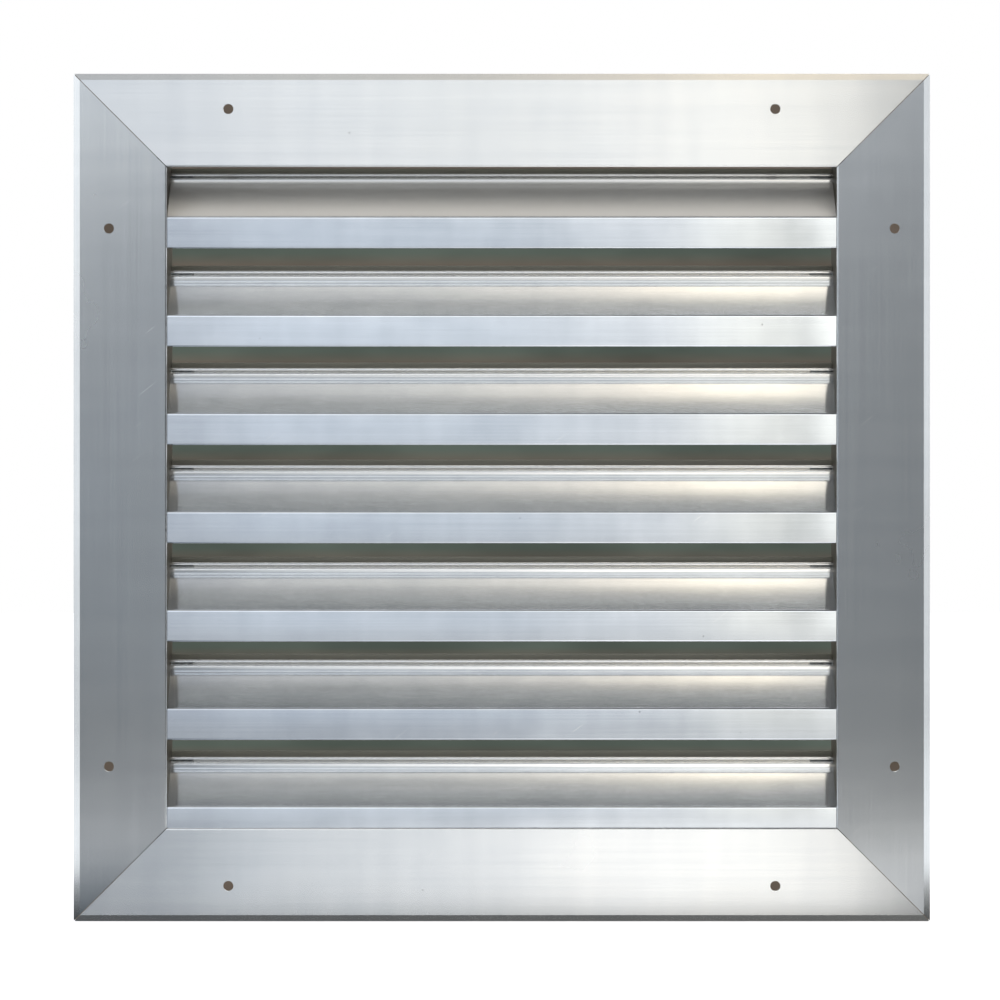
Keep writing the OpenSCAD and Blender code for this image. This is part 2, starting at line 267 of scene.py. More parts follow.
def turnedMetal(name, finish):
    material, tree = newMaterial(name)
    clouds = spots(tree, 2.2, detail=3.0)
    grains = spots(tree, 0.3)
    colour = addNode(tree, "ShaderNodeMix", {
        "Factor": clouds, "A": linear(finish["dark"]), "B": linear(finish["pale"]),
    }, data_type="RGBA")
    roughness = addNode(tree, "ShaderNodeMath", {0: grains, 1: 0.12, 2: finish["roughness"] - 0.06}, operation="MULTIPLY_ADD")
    bump = addNode(tree, "ShaderNodeBump", {"Strength": 0.15, "Distance": 0.02 * mm, "Height": grains})
    shader = addNode(tree, "ShaderNodeBsdfPrincipled", {
        "Base Color": colour, "Metallic": 1.0, "Roughness": roughness, "Normal": bump,
    })
    addNode(tree, "ShaderNodeOutputMaterial", {"Surface": shader})
    return material


def dress(node, material):
    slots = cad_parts[node].data.materials
    slots.clear()
    slots.append(material)


levelFrame = millAluminium("extrudedFrameLevel", "X", frameFinish)
# painted shade: the jambs get a darker copy of the head and sill finish
shadedUprightFrame = millAluminium("extrudedFrameUprightShaded", "Z", uprightShadeFinish)
# painted shade: the flat bars are dark brown-grey
shadedFlatBar = millAluminium("extrudedFlatBarShaded", "Z", stileShadeFinish)
angleBar = millAluminium("extrudedAngle", "Y", barFinish)
bladeMetal = millAluminium("extrudedBlade", "X", bladeFinish, "bladeTone")
zincSteel = turnedMetal("zincPlatedSteel", zincFinish)
rivetMetal = turnedMetal("drawnAluminium", rivetFinish)
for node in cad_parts:
    if node in ("frame_head", "frame_sill"):
        dress(node, levelFrame)
    elif node.startswith("frame_jamb"):
        dress(node, shadedUprightFrame)
    elif node.startswith("stile_l") or node.startswith("stile_r"):
        dress(node, shadedFlatBar)
    elif node.startswith("corner_cleat"):
        dress(node, angleBar)
print("materials done")


# Geometry node trees and what they turn into

def newTree(name, sizes):
    tree = bpy.data.node_groups.new(name, "GeometryNodeTree")
    tree.interface.new_socket("Geometry", in_out="INPUT", socket_type="NodeSocketGeometry")
    for label, value in sizes.items():
        kind = "NodeSocketMaterial" if isinstance(value, bpy.types.Material) else (
            "NodeSocketInt" if isinstance(value, int) else "NodeSocketFloat")
        tree.interface.new_socket(label, in_out="INPUT", socket_type=kind)
    tree.interface.new_socket("Geometry", in_out="OUTPUT", socket_type="NodeSocketGeometry")
    return tree, addNode(tree, "NodeGroupInput").outputs


def finishTree(tree, geometry, material):
    # Smooth round forms, sharp edges where faces meet at more than 20 degrees
    angle = addNode(tree, "GeometryNodeInputMeshEdgeAngle").outputs["Unsigned Angle"]
    soft = addNode(tree, "FunctionNodeCompare", {0: angle, 1: math.radians(20)}, operation="LESS_THAN")
    real = addNode(tree, "GeometryNodeRealizeInstances", {"Geometry": geometry})
    smooth = addNode(tree, "GeometryNodeSetShadeSmooth", {"Geometry": real, "Shade Smooth": True}, domain="FACE")
    edges = addNode(tree, "GeometryNodeSetShadeSmooth", {"Geometry": smooth, "Shade Smooth": soft}, domain="EDGE")
    painted = addNode(tree, "GeometryNodeSetMaterial", {"Geometry": edges, "Material": material})
    addNode(tree, "NodeGroupOutput", {"Geometry": painted})


def bakePiece(name, mesh, tree, sizes, replaced):
    piece = link(name, mesh)
    modifier = piece.modifiers.new(name, "NODES")
    modifier.node_group = tree
    for socket in tree.interface.items_tree:
        if socket.in_out == "INPUT" and socket.name in sizes:
            modifier[socket.identifier] = sizes[socket.name]
    bpy.context.view_layer.update()
    depsgraph = bpy.context.evaluated_depsgraph_get()
    result = bpy.data.meshes.new_from_object(
        piece.evaluated_get(depsgraph), preserve_all_data_layers=True, depsgraph=depsgraph)
    piece.modifiers.clear()
    piece.data = result
    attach(piece, "root")
    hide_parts(*replaced)
    print(name, len(result.polygons), "faces")
    return piece


# Blades: one section, swept from stile to stile and repeated up the frame

bladeSection = {
    "fasciaHeight": 14.5,
    "wall": 1.6,
    "topRound": 1.2,
    "lowRound": 0.7,
    "webRise": 35,
    "upstand": 2.8,
    "portBore": 3.2,
    "portWall": 1.5,
    "mouthHalf": 58,
    "rearPortBack": 6,
    "rearPortUp": 0.8,
    "frontPort": (3.9, 4.5),
    "frontMouth": -35,
    "arcStep": 8,
    "toneSeed": 1973,
}


def turned(degrees):
    return Vector((math.cos(math.radians(degrees)), math.sin(math.radians(degrees))))


def arc(centre, radius, start, end):
    steps = max(2, math.ceil(abs(end - start) / bladeSection["arcStep"]))
    return [centre + radius * turned(start + (end - start) * i / steps) for i in range(steps + 1)]


def portPath(centre, mouth, enter, leave):
    # Round the outside of a screw port, over one lip, through the bore, over the other lip and on
    bore, wall = bladeSection["portBore"] / 2, bladeSection["portWall"]
    first, last = mouth + bladeSection["mouthHalf"], mouth - bladeSection["mouthHalf"]
    middle, lip = bore + wall / 2, wall / 2
    path = arc(centre, bore + wall, enter, first)
    path += arc(centre + middle * turned(first), lip, first, first - 180)
    path += arc(centre, bore, first, last + 360)
    path += arc(centre + middle * turned(last), lip, last + 180, last)
    return path + arc(centre, bore + wall, last, leave)


def sectionOutline(depth):
    s = bladeSection
    wall, rise, height = s["wall"], s["webRise"], s["fasciaHeight"]
    along, normal = turned(rise), turned(rise + 90)
    portRadius = s["portBore"] / 2 + s["portWall"]
    webEnd = depth - wall
    drop = wall / math.cos(math.radians(rise))

    def webTop(u):
        return height + (u - s["topRound"]) * math.tan(math.radians(rise))

    rearPort = Vector((webEnd, webTop(webEnd))) - s["rearPortBack"] * along + s["rearPortUp"] * normal
    frontPort = Vector(s["frontPort"])
    overDip = math.degrees(math.asin(s["rearPortUp"] / portRadius))
    underDip = math.degrees(math.asin((wall + s["rearPortUp"]) / portRadius))
    backDip = math.degrees(math.acos((wall - frontPort.x) / portRadius))
    top = webTop(webEnd) + s["upstand"]
    foot = webTop(webEnd) - drop
    path = [Vector((wall, 0))]
    path += arc(Vector((s["lowRound"], s["lowRound"])), s["lowRound"], -90, -180)
    path += arc(Vector((s["topRound"], height - s["topRound"])), s["topRound"], 180, 90)
    path += portPath(rearPort, rise + 90, rise + 180 + overDip, rise - overDip)
    path.append(Vector((webEnd, webTop(webEnd))))
    path += arc(Vector((webEnd + wall / 2, top - wall / 2)), wall / 2, 180, 0)
    path += [Vector((depth, foot)), Vector((webEnd, foot))]
    path += arc(rearPort, portRadius, rise - underDip, rise - 180 + underDip)
    path.append(Vector((wall, webTop(wall) - drop)))
    return path + portPath(frontPort, s["frontMouth"], backDip, -backDip)


def makeBlades():
    names = sorted(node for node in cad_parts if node.startswith("blade_") and node[6:].isdigit())
    lowest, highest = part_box(names[-1]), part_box(names[0])
    depth = (lowest[1].y - lowest[0].y) / mm
    outline = [Vector((lowest[0].x, lowest[0].y + p.x * mm, lowest[0].z + p.y * mm)) for p in sectionOutline(depth)]
    mesh = bpy.data.meshes.new("bladeSection")
    mesh.from_pydata(outline, [], [list(range(len(outline)))])
    sizes = {
        "Length": lowest[1].x - lowest[0].x,
        "Count": len(names),
        "Pitch": (highest[0].z - lowest[0].z) / (len(names) - 1),
        "Tone seed": bladeSection["toneSeed"],
        "Metal": bladeMetal,
    }
    tree, given = newTree("bladeSet", sizes)
    sweep = addNode(tree, "ShaderNodeCombineXYZ", {0: given["Length"]})
    sides = addNode(tree, "GeometryNodeExtrudeMesh", {
        "Mesh": given["Geometry"], "Offset": sweep, "Offset Scale": 1.0, "Individual": False,
    })
    nearEnd = addNode(tree, "GeometryNodeFlipFaces", {"Mesh": given["Geometry"]})
    blade = addNode(tree, "GeometryNodeMergeByDistance", {
        "Geometry": addNode(tree, "GeometryNodeJoinGeometry", {"Geometry": [sides, nearEnd]}), "Distance": 0.001 * mm,
    })
    step = addNode(tree, "ShaderNodeCombineXYZ", {2: given["Pitch"]})
    rows = addNode(tree, "GeometryNodeMeshLine", {"Count": given["Count"], "Offset": step})
    placed = addNode(tree, "GeometryNodeInstanceOnPoints", {"Points": rows, "Instance": blade})
    tone = addNode(tree, "FunctionNodeRandomValue", {
        "ID": addNode(tree, "GeometryNodeInputIndex"), "Seed": given["Tone seed"],
    }, data_type="FLOAT")
    toned = addNode(tree, "GeometryNodeStoreNamedAttribute", {
        "Geometry": placed, "Name": "bladeTone", "Value": tone,
    }, data_type="FLOAT", domain="INSTANCE")
    finishTree(tree, toned, given["Metal"])
    bakePiece("blades", mesh, tree, sizes, names)


makeBlades()


# Fasteners: each is turned once and set where the frame's own solids are

def solidBoxes(node):
    work = bmesh.new()
    work.from_mesh(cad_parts[node].data)
    bmesh.ops.remove_doubles(work, verts=work.verts, dist=0.001 * mm)
    left, boxes = set(work.verts), []
    while left:
        waiting, island = [left.pop()], []
        while waiting:
            vertex = waiting.pop()
            island.append(vertex.co.copy())
            for edge in vertex.link_edges:
                other = edge.other_vert(vertex)
                if other in left:
                    left.discard(other)
                    waiting.append(other)
        boxes.append((Vector(map(min, zip(*island))), Vector(map(max, zip(*island)))))
    work.free()
    return sorted(boxes, key=lambda box: tuple(box[0]))


def aimedPoints(name, nodes, axis):
    # One point at the outer end of each solid, with the way that end faces
    places, aims = [], []
    for node in nodes:
        for low, high in solidBoxes(node):
            middle = (low + high) / 2
            side = math.copysign(1.0, middle[axis])
            middle[axis] = max(abs(low[axis]), abs(high[axis])) * side
            places.append(middle)
            aims.append([side if i == axis else 0.0 for i in range(3)])
    mesh = bpy.data.meshes.new(name)
    mesh.from_pydata(places, [], [])
    aim = mesh.attributes.new("aim", "FLOAT_VECTOR", "POINT")
    aim.data.foreach_set("vector", [value for vector in aims for value in vector])
    return mesh


def setOnPoints(tree, given, part):
    aim = addNode(tree, "GeometryNodeInputNamedAttribute", {"Name": "aim"}, data_type="FLOAT_VECTOR")
    facing = addNode(tree, "FunctionNodeAlignRotationToVector", {"Vector": aim}, axis="Z")
    spin = addNode(tree, "FunctionNodeRandomValue", {
        "Max": math.pi, "ID": addNode(tree, "GeometryNodeInputIndex"), "Seed": given["Spin seed"],
    }, data_type="FLOAT")
    driven = addNode(tree, "FunctionNodeRotateRotation", {
        "Rotation": facing, "Rotate By": addNode(tree, "ShaderNodeCombineXYZ", {2: spin}),
    }, rotation_space="LOCAL")
    placed = addNode(tree, "GeometryNodeInstanceOnPoints", {
        "Points": given["Geometry"], "Instance": part, "Rotation": driven,
    })
    finishTree(tree, placed, given["Metal"])


def moved(tree, mesh, z, turn=0.0):
    # z is a number or a socket: how far the mesh goes along the fastener's axis
    shift = addNode(tree, "ShaderNodeCombineXYZ", {2: z})
    return addNode(tree, "GeometryNodeTransform", {"Geometry": mesh, "Translation": shift, "Rotation": (0, 0, turn)})


def sized(tree, operation, a, b):
    return addNode(tree, "ShaderNodeMath", {0: a, 1: b}, operation=operation)


def crossRecess(tree, given):
    # Two crossed bars to cut out of the head, one a hair deeper so that their floors do not coincide
    bars = []
    for turn, share in ((0.0, 2.0), (math.pi / 2, 2.03)):
        depth = sized(tree, "MULTIPLY", given["Recess depth"], share)
        size = addNode(tree, "ShaderNodeCombineXYZ", {0: given["Recess width"], 1: given["Recess slot"], 2: depth})
        bars.append(moved(tree, addNode(tree, "GeometryNodeMeshCube", {"Size": size}), 0.0, turn))
    return bars


def threadedShank(tree, given, fromEnd):
    # A plain core with a rolled ridge; fromEnd is where it starts below the outer end
    core = sized(tree, "SUBTRACT", given["Shank radius"], given["Thread height"])
    length = sized(tree, "SUBTRACT", given["Length"], fromEnd)
    shank = addNode(tree, "GeometryNodeMeshCylinder", {"Vertices": 20, "Radius": core, "Depth": length})
    middle = sized(tree, "MULTIPLY", sized(tree, "ADD", given["Length"], fromEnd), -0.5)
    turns = sized(tree, "DIVIDE", length, given["Thread pitch"])
    helix = addNode(tree, "GeometryNodeCurveSpiral", {
        "Resolution": 14, "Rotations": turns, "Start Radius": core, "End Radius": core,
        "Height": sized(tree, "MULTIPLY", length, 0.96),
    })
    ridge = addNode(tree, "GeometryNodeCurvePrimitiveCircle", {"Resolution": 4, "Radius": given["Thread height"]})
    thread = addNode(tree, "GeometryNodeCurveToMesh", {"Curve": helix, "Profile Curve": ridge, "Fill Caps": True})
    bottom = sized(tree, "MULTIPLY", given["Length"], -0.995)
    return [moved(tree, shank, middle), moved(tree, thread, bottom)]


stileScrew = {
    "Head radius": 3.45 * mm,
    "Head height": 2.0 * mm,
    "Rim height": 0.7 * mm,
    "Shank radius": 1.75 * mm,
    "Thread height": 0.3 * mm,
    "Thread pitch": 1.3 * mm,
    "Recess width": 3.3 * mm,
    "Recess slot": 0.75 * mm,
    "Recess depth": 1.2 * mm,
    "Spin seed": 3,
}
bladeScrew = {
    "Head radius": 3.0 * mm,
    "Head height": 1.7 * mm,
    "Shank radius": 1.5 * mm,
    "Thread height": 0.28 * mm,
    "Thread pitch": 1.2 * mm,
    "Recess width": 3.0 * mm,
    "Recess slot": 0.7 * mm,
    "Recess depth": 1.1 * mm,
    "Spin seed": 8,
}
blindRivet = {
    "Head radius": 3.2 * mm,
    "Head height": 1.1 * mm,
    "Rim height": 0.15 * mm,
    "Body radius": 1.6 * mm,
    "Bulb radius": 2.3 * mm,
    "Bulb length": 2.6 * mm,
    "Stem radius": 0.9 * mm,
    "Stem depth": 0.7 * mm,
    "Spin seed": 1,
}


def domedHead(tree, given, rim):
    # The part of a ball that stands on the rim, cut by a cylinder turned half a facet, so that no edges coincide
    rise = sized(tree, "SUBTRACT", given["Head height"], rim)
    squares = sized(tree, "ADD", sized(tree, "POWER", given["Head radius"], 2.0), sized(tree, "POWER", rise, 2.0))
    ball = sized(tree, "DIVIDE", squares, sized(tree, "MULTIPLY", rise, 2.0))
    dome = addNode(tree, "GeometryNodeMeshUVSphere", {"Segments": 48, "Rings": 64, "Radius": ball})
    drum = addNode(tree, "GeometryNodeMeshCylinder", {
        "Vertices": 48, "Radius": given["Head radius"], "Depth": sized(tree, "MULTIPLY", given["Head height"], 2.0),
    })
    return addNode(tree, "GeometryNodeMeshBoolean", {
        "Mesh 2": [moved(tree, dome, sized(tree, "MULTIPLY", ball, -1.0)), moved(tree, drum, 0.0, math.pi / 48)],
    }, operation="INTERSECT", solver="EXACT")


def shortest(nodes, axis):
    return min(high[axis] - low[axis] for node in nodes for low, high in solidBoxes(node))


def makeStileScrews():
    # All are as short as the two at mid height, so that no tip stands out of a stile
    nodes = ["stile_screws_left", "stile_screws_right"]
    sizes = {**stileScrew, "Length": shortest(nodes, 0), "Metal": zincSteel}
    tree, given = newTree("stileScrew", sizes)
    head = addNode(tree, "GeometryNodeMeshBoolean", {
        "Mesh 1": domedHead(tree, given, given["Rim height"]), "Mesh 2": crossRecess(tree, given),
    }, operation="DIFFERENCE", solver="EXACT")
    screw = addNode(tree, "GeometryNodeJoinGeometry", {"Geometry": [head, *threadedShank(tree, given, given["Head height"])]})
    setOnPoints(tree, given, screw)
    bakePiece("stileScrews", aimedPoints("stileScrewPoints", nodes, 0), tree, sizes, nodes)


def makeBladeScrews():
    nodes = ["blade_screws_left", "blade_screws_right"]
    sizes = {**bladeScrew, "Length": shortest(nodes, 0), "Metal": zincSteel}
    tree, given = newTree("bladeScrew", sizes)
    cone = addNode(tree, "GeometryNodeMeshCone", {
        "Vertices": 48, "Radius Top": given["Head radius"], "Radius Bottom": given["Shank radius"],
        "Depth": given["Head height"],
    })
    head = addNode(tree, "GeometryNodeMeshBoolean", {
        "Mesh 1": moved(tree, cone, sized(tree, "MULTIPLY", given["Head height"], -1.0)),
        "Mesh 2": crossRecess(tree, given),
    }, operation="DIFFERENCE", solver="EXACT")
    screw = addNode(tree, "GeometryNodeJoinGeometry", {"Geometry": [head, *threadedShank(tree, given, given["Head height"])]})
    setOnPoints(tree, given, screw)
    bakePiece("bladeScrews", aimedPoints("bladeScrewPoints", nodes, 0), tree, sizes, nodes)


def makeRivets():
    nodes = sorted(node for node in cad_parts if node.startswith("cleat_rivets"))
    sizes = {**blindRivet, "Length": shortest(nodes, 2), "Metal": rivetMetal}
    tree, given = newTree("blindRivet", sizes)
    well = addNode(tree, "GeometryNodeMeshCylinder", {
        "Vertices": 24, "Radius": given["Stem radius"], "Depth": sized(tree, "MULTIPLY", given["Stem depth"], 2.0),
    })
    head = addNode(tree, "GeometryNodeMeshBoolean", {
        "Mesh 1": domedHead(tree, given, given["Rim height"]), "Mesh 2": moved(tree, well, 0.0, math.pi / 48),
    }, operation="DIFFERENCE", solver="EXACT")
    bodyLength = sized(tree, "SUBTRACT", given["Length"], sized(tree, "MULTIPLY", given["Head height"], 1.02))
    body = addNode(tree, "GeometryNodeMeshCylinder", {"Vertices": 24, "Radius": given["Body radius"], "Depth": bodyLength})
    bulb = addNode(tree, "GeometryNodeMeshCylinder", {
        "Vertices": 32, "Side Segments": 6, "Radius": given["Bulb radius"], "Depth": given["Bulb length"],
    })
    bodyMiddle = sized(tree, "SUBTRACT", sized(tree, "MULTIPLY", bodyLength, 0.5), given["Length"])
    bulbMiddle = sized(tree, "SUBTRACT", sized(tree, "MULTIPLY", given["Bulb length"], 0.5), given["Length"])
    rivet = addNode(tree, "GeometryNodeJoinGeometry", {
        "Geometry": [head, moved(tree, body, bodyMiddle), moved(tree, bulb, bulbMiddle)],
    })
    setOnPoints(tree, given, rivet)
    bakePiece("rivets", aimedPoints("rivetPoints", nodes, 2), tree, sizes, nodes)


makeStileScrews()
makeBladeScrews()
makeRivets()


# Camera: the flange's face is 0.4478 mm to a pixel of the 1000 pixel photograph

photo = {
    "side": 1000,
    "pixel": 0.4478 * mm,
    "openingCentre": (501.8, 497.5),
    "distance": 2.2,
}


def makeCamera():
    offset = [(photo["openingCentre"][i] - photo["side"] / 2) * photo["pixel"] for i in (0, 1)]
    data = bpy.data.cameras.new("camera")
    data.lens = data.sensor_width * photo["distance"] / (photo["side"] * photo["pixel"])
    camera = link("camera", data)
    camera.location = (-offset[0], cadBox[0].y - photo["distance"], offset[1])
    camera.rotation_euler = (math.radians(90), 0, 0)
    bpy.context.scene.camera = camera


makeCamera()


# Stage: a white floor, graded cards that only reflections see, and cards of painted shade behind the openings

stage = {
    "floorSide": 12,
    "reach": 3.0,
    "wallY": -2.6,
    "wallTop": 0.65,
    "ceilingZ": 2.2,
    "rearY": 2.5,
    "rearFoot": 0.45,
    "brightToY": 1.07,
    "rearFloorY": 0.6,
    "sideY": -0.6,
    "ahead": (-0.42, 0.36),
    "nearFloorY": -0.4,
    "underFloorY": -0.03,
    "clearOfMetal": 0.5 * mm,
}
# Each card's axis of grading, then places along it in metres with colour and strength
papers = {
    "left": (2, [(-0.19, "#828B95", 1.0), (0.0, "#8E97A0", 1.0), (0.12, "#A8AFB6", 1.0), (0.3, "#B4BAC0", 1.0),
                 (0.36, "#E4E7EA", 2.0), (0.65, "#E4E7EA", 2.0)]),
    "ahead": (0, [(-0.42, "#DCE4EE", 0.7), (-0.31, "#E0E6EE", 0.85), (-0.23, "#E4EBF3", 1.0), (0.0, "#EAF0F6", 0.95),
                  (0.16, "#F8F9F9", 1.06), (0.24, "#FFFCF2", 1.3), (0.28, "#FFFCF2", 1.0), (0.31, "#F8F8F2", 0.8),
                  (0.32, "#FFFCF2", 2.0), (0.335, "#FFFCF2", 2.0), (0.345, "#F8F8F6", 0.7), (0.36, "#F8F8F6", 0.7)]),
    "right": (2, [(-0.19, "#303234", 1.0), (0.2, "#34363A", 1.0), (0.3, "#4A4C50", 1.0), (0.4, "#7E8184", 1.0),
                  (0.65, "#7E8184", 1.0)]),
    "sky": (0, [(-1.5, "#D6DEE8", 1.0), (-0.45, "#DEE6F0", 1.6), (-0.3, "#F0F2F4", 1.75), (-0.2, "#F8F8F6", 1.8),
                (0.0, "#F6F6F2", 1.7), (0.16, "#FFFDF8", 1.85), (0.32, "#FFFDF8", 2.2), (0.42, "#F8F8F6", 1.0),
                (1.5, "#F0F0F0", 0.8)]),
    "farFloor": (0, [(-0.9, "#303234", 1.0), (-0.42, "#303234", 1.0), (-0.38, "#C0C4C8", 1.0), (0.0, "#C8CACC", 1.05),
                     (0.16, "#CCCCCA", 1.3), (0.24, "#CCCAC4", 1.6), (0.32, "#CCCAC4", 1.3), (0.36, "#303234", 1.0),
                     (0.9, "#303234", 1.0)]),
    "nearFloor": (0, [(-0.5, "#F4F5F6", 1.8), (-0.27, "#A0A6AC", 1.0), (-0.22, "#5A6066", 1.1), (-0.2, "#5A6066", 1.1), (-0.16, "#7C838A", 1.1), (-0.12, "#C8CED4", 1.0),
                      (-0.04, "#F4F6F8", 1.05), (0.0, "#FFFFFF", 1.15), (0.04, "#FFFDFA", 1.5), (0.12, "#FFFDFA", 1.6),
                      (0.16, "#FFFDFA", 1.4), (0.2, "#D0D2D4", 0.9), (0.23, "#6C7074", 1.0), (0.27, "#D8D8D8", 1.2),
                      (0.5, "#F4F5F6", 1.8)]),
    "underFloor": (0, [(-0.5, "#F4F5F6", 1.8), (-0.4, "#5A5C5E", 1.0), (-0.2, "#5A5C5E", 1.0), (0.2, "#6E6E6C", 1.0),
                       (0.4, "#6E6E6C", 1.0), (0.5, "#F4F5F6", 1.8)]),
    "rearFloor": (0, [(-0.5, "#F4F5F6", 1.8), (-0.4, "#F0F2F4", 0.5), (0.4, "#FFFDF8", 0.7), (0.5, "#F4F5F6", 1.8)]),
    "frontCeiling": (0, [(-0.8, "#D0D0D0", 0.9), (-0.35, "#D0D0D0", 0.9), (0.0, "#D0D0D0", 0.4), (0.25, "#D0CCC4", 0.06),
                         (1.2, "#D0CCC4", 0.06)]),
    "side": (2, [(-0.19, "#F4F5F6", 1.8), (0.65, "#F4F5F6", 1.8)]),
    "rearCeiling": (0, [(-0.8, "#E6EAEE", 0.6), (-0.31, "#F0F2F4", 0.7), (-0.23, "#F6F4F0", 0.95), (-0.08, "#F8F4EC", 1.1),
                        (0.06, "#FDF4E6", 1.45), (0.14, "#FFF3E0", 1.85), (0.21, "#FFF2DC", 2.3), (0.26, "#FFF2DC", 2.3),
                        (0.3, "#FFF4E2", 1.9), (1.2, "#FFF6E8", 0.8)]),
    "dimCeiling": (0, [(-0.4, "#A8ACB0", 1.0), (0.4, "#B4B0A8", 1.0)]),
    "rearSky": (0, [(-0.8, "#E6EAEE", 1.2), (-0.23, "#F6F6F4", 2.2), (0.1, "#FFFDF8", 3.0), (0.3, "#FFFDF8", 3.6),
                    (1.2, "#FFFDF8", 1.2)]),
    "rearLow": (0, [(-0.4, "#70736F", 1.0), (0.4, "#84827A", 1.0)]),
}


def flatCard(name, low, high, material):
    # A rectangle between two corners that share one coordinate; an upright one faces the front
    a, b = [axis for axis in range(3) if high[axis] - low[axis] > stage["clearOfMetal"]]
    corners = []
    for first, second in ((low, low), (high, low), (high, high), (low, high)):
        corner = list(low)
        corner[a], corner[b] = first[a], second[b]
        corners.append(corner)
    mesh = bpy.data.meshes.new(name)
    mesh.from_pydata(corners, [], [(0, 1, 2, 3)])
    mesh.materials.append(material)
    card = link(name, mesh)
    return card


def paleFloor():
    # White paper: lit it is nearly white, and what is missing is added only where it is looked at
    material, tree = newMaterial("paleFloor")
    path = addNode(tree, "ShaderNodeLightPath").outputs
    seen = addNode(tree, "ShaderNodeMath", {0: path["Is Camera Ray"], 1: path["Is Glossy Ray"]}, operation="MAXIMUM")
    seen = addNode(tree, "ShaderNodeMath", {0: seen, 1: path["Is Transmission Ray"]}, operation="MAXIMUM")
    paper = addNode(tree, "ShaderNodeBsdfDiffuse", {"Color": linear("#E8E8E8")})
    glow = addNode(tree, "ShaderNodeEmission", {
        "Color": linear("#FFFFFF"), "Strength": addNode(tree, "ShaderNodeMath", {0: seen, 1: 0.75}, operation="MULTIPLY"),
    })
    both = addNode(tree, "ShaderNodeAddShader", {0: paper, 1: glow})
    addNode(tree, "ShaderNodeOutputMaterial", {"Surface": both})
    return material


def gradedPaper(name):
    axis, grades = papers[name]
    material, tree = newMaterial(name + "Paper")
    places = addNode(tree, "ShaderNodeSeparateXYZ", {0: addNode(tree, "ShaderNodeTexCoord").outputs["Object"]})
    low, high = grades[0][0], grades[-1][0]
    along = addNode(tree, "ShaderNodeMapRange", {"Value": places.outputs[axis], "From Min": low, "From Max": high})
    strongest = max(strength for place, code, strength in grades)
    ramp = addNode(tree, "ShaderNodeValToRGB", {"Fac": along})
    stops = ramp.color_ramp.elements
    while len(stops) < len(grades):
        stops.new(0.5)
    for stop, (place, code, strength) in zip(stops, grades):
        stop.position = (place - low) / (high - low)
    for stop, (place, code, strength) in zip(stops, grades):
        stop.color = (*[channel * strength / strongest for channel in linear(code)[:3]], 1.0)
    glow = addNode(tree, "ShaderNodeEmission", {"Color": ramp.outputs["Color"], "Strength": strongest})
    addNode(tree, "ShaderNodeOutputMaterial", {"Surface": glow})
    return material


def gapShadePaper():
    # Painted shade seen through the gaps, greenish at the top of each gap and brown at its foot; clear from behind, so
    # that the louver stays open
    material, tree = newMaterial("gapShadePaper")
    high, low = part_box("blade_1"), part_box("blade_7")
    spread = 1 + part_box("frame_head")[1].y / photo["distance"]  # the card lies deeper than the fascias
    pitch = (high[0].z - low[0].z) / 6 * spread
    place = addNode(tree, "ShaderNodeSeparateXYZ", {0: addNode(tree, "ShaderNodeTexCoord").outputs["Object"]}).outputs["Z"]
    below = addNode(tree, "ShaderNodeMath", {0: high[0].z * spread, 1: place}, operation="SUBTRACT")
    share = addNode(tree, "ShaderNodeMath", {
        0: addNode(tree, "ShaderNodeMath", {0: below, 1: pitch}, operation="DIVIDE"),
    }, operation="FRACT")
    tint = addNode(tree, "ShaderNodeMapRange", {"Value": share, "From Min": 0.05, "From Max": 0.2})
    blotch = spots(tree, 22, "X", 3.0, 3.0)
    shade = addNode(tree, "ShaderNodeMapRange", {"Value": blotch, "From Min": 0.3, "From Max": 0.7, "To Min": 0.8, "To Max": 1.2})
    colour = addNode(tree, "ShaderNodeMix", {
        "Factor": tint, "A": linear("#535C55"), "B": linear("#62584F"),
    }, data_type="RGBA")
    glow = addNode(tree, "ShaderNodeEmission", {"Color": colour, "Strength": shade})
    back = addNode(tree, "ShaderNodeNewGeometry").outputs["Backfacing"]
    mixed = addNode(tree, "ShaderNodeMixShader", {0: back, 1: glow, 2: addNode(tree, "ShaderNodeBsdfTransparent")})
    addNode(tree, "ShaderNodeOutputMaterial", {"Surface": mixed})
    return material


def cameraOnly(card):
    card.visible_diffuse = card.visible_glossy = card.visible_transmission = False
    card.visible_shadow = card.visible_volume_scatter = False


def reflectedOnly(card):
    card.visible_camera = card.visible_diffuse = card.visible_transmission = False
    card.visible_shadow = card.visible_volume_scatter = False


def makeShadeCards():
    dark = gapShadePaper()
    clear = stage["clearOfMetal"]
    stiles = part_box("stile_left"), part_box("stile_right")
    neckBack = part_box("frame_head")[1].y - 2 * clear
    inner = Vector((stiles[1][1].x - clear, neckBack, stiles[0][1].z))
    cameraOnly(flatCard("behindBlades", (-inner.x, neckBack, -inner.z), inner, dark))
    # A ring of the same painted shade behind the flange, from the neck's inside to the outer rim
    rim, ringY = 2.2 * mm, 1.5 * mm
    x, z = inner.x, inner.z
    outX, outZ = cadBox[1].x - rim, cadBox[1].z - rim
    for name, low, high in (
        ("behindLeftJamb", (-outX, ringY, -outZ), (-x, ringY, outZ)),
        ("behindRightJamb", (x, ringY, -outZ), (outX, ringY, outZ)),
        ("behindSill", (-outX, ringY, -outZ), (outX, ringY, -z)),
        ("behindHead", (-outX, ringY, z), (outX, ringY, outZ)),
    ):
        cameraOnly(flatCard(name, low, high, dark))
    # A patch of the same painted shade behind each corner of the rim, where the mitres run out
    patch, tip, patchY = 4 * mm, 0.4 * mm, 3.3 * mm
    for row, foot in (("Foot", cadBox[0].z + tip), ("Top", cadBox[1].z - tip - patch)):
        for column, left in (("Left", cadBox[0].x + tip), ("Right", cadBox[1].x - tip - patch)):
            low, high = (left, patchY, foot), (left + patch, patchY, foot + patch)
            cameraOnly(flatCard("behind" + column + row, low, high, dark))


